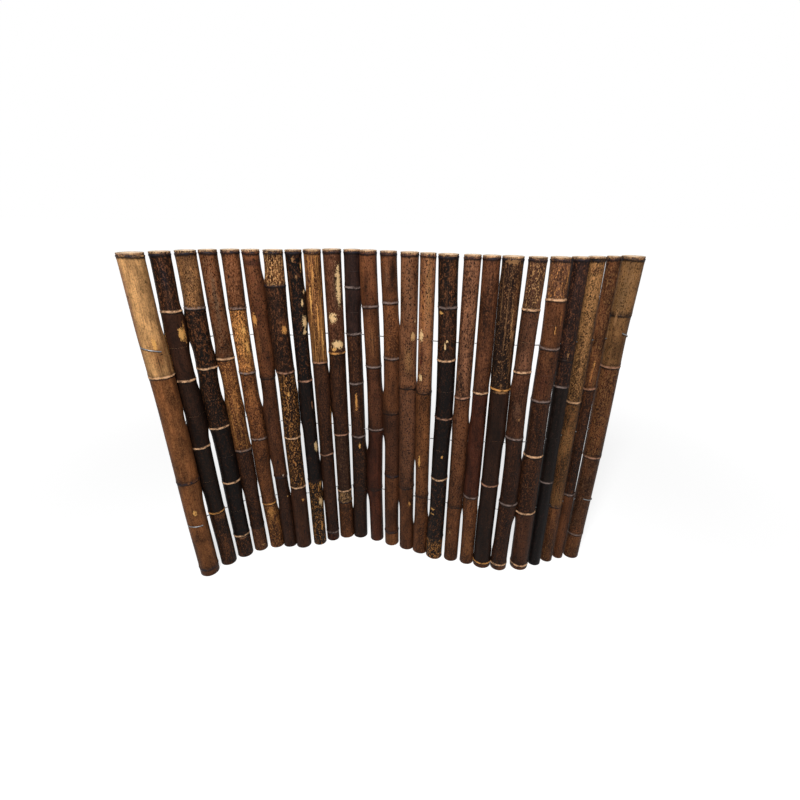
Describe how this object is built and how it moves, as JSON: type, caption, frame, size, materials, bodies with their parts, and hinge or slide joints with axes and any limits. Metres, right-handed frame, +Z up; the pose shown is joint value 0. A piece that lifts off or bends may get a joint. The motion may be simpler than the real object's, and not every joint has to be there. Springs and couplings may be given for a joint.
{
  "type": "bamboo border edging",
  "caption": "Low wavy garden edging panel of round dark bamboo poles standing side by side, threaded on steel wires that run through them.",
  "frame": {"origin": "under the middle of the panel, on the ground that the pole feet stand on", "axes": "+Z up along the poles, +X from the left pole to the right pole seen from the front, front faces -Y"},
  "size_m": [0.8012, 0.161, 0.61],
  "materials": {
    "bamboo_tan": "dry bamboo skin, tan and olive, mottled, low sheen",
    "bamboo_brown": "dry bamboo skin, mid brown, mottled, low sheen",
    "bamboo_black": "dry bamboo skin, near black with brown spots, low sheen",
    "steel_wire": "dull galvanised wire"
  },
  "bodies": {
    "root": {"pole_01": "bamboo_tan", "pole_02": "bamboo_black", "pole_03": "bamboo_black", "pole_04": "bamboo_brown", "pole_05": "bamboo_brown", "pole_06": "bamboo_brown", "pole_07": "bamboo_tan", "pole_08": "bamboo_black", "pole_09": "bamboo_brown", "pole_10": "bamboo_brown", "pole_11": "bamboo_black", "pole_12": "bamboo_brown", "pole_13": "bamboo_brown", "pole_14": "bamboo_tan", "pole_15": "bamboo_tan", "pole_16": "bamboo_black", "pole_17": "bamboo_brown", "pole_18": "bamboo_tan", "pole_19": "bamboo_brown", "pole_20": "bamboo_brown", "pole_21": "bamboo_brown", "pole_22": "bamboo_black", "pole_23": "bamboo_tan", "pole_24": "bamboo_brown", "pole_25": "bamboo_brown", "wire_upper": "steel_wire", "wire_middle": "steel_wire", "wire_lower": "steel_wire"}
  },
  "joints": []
}
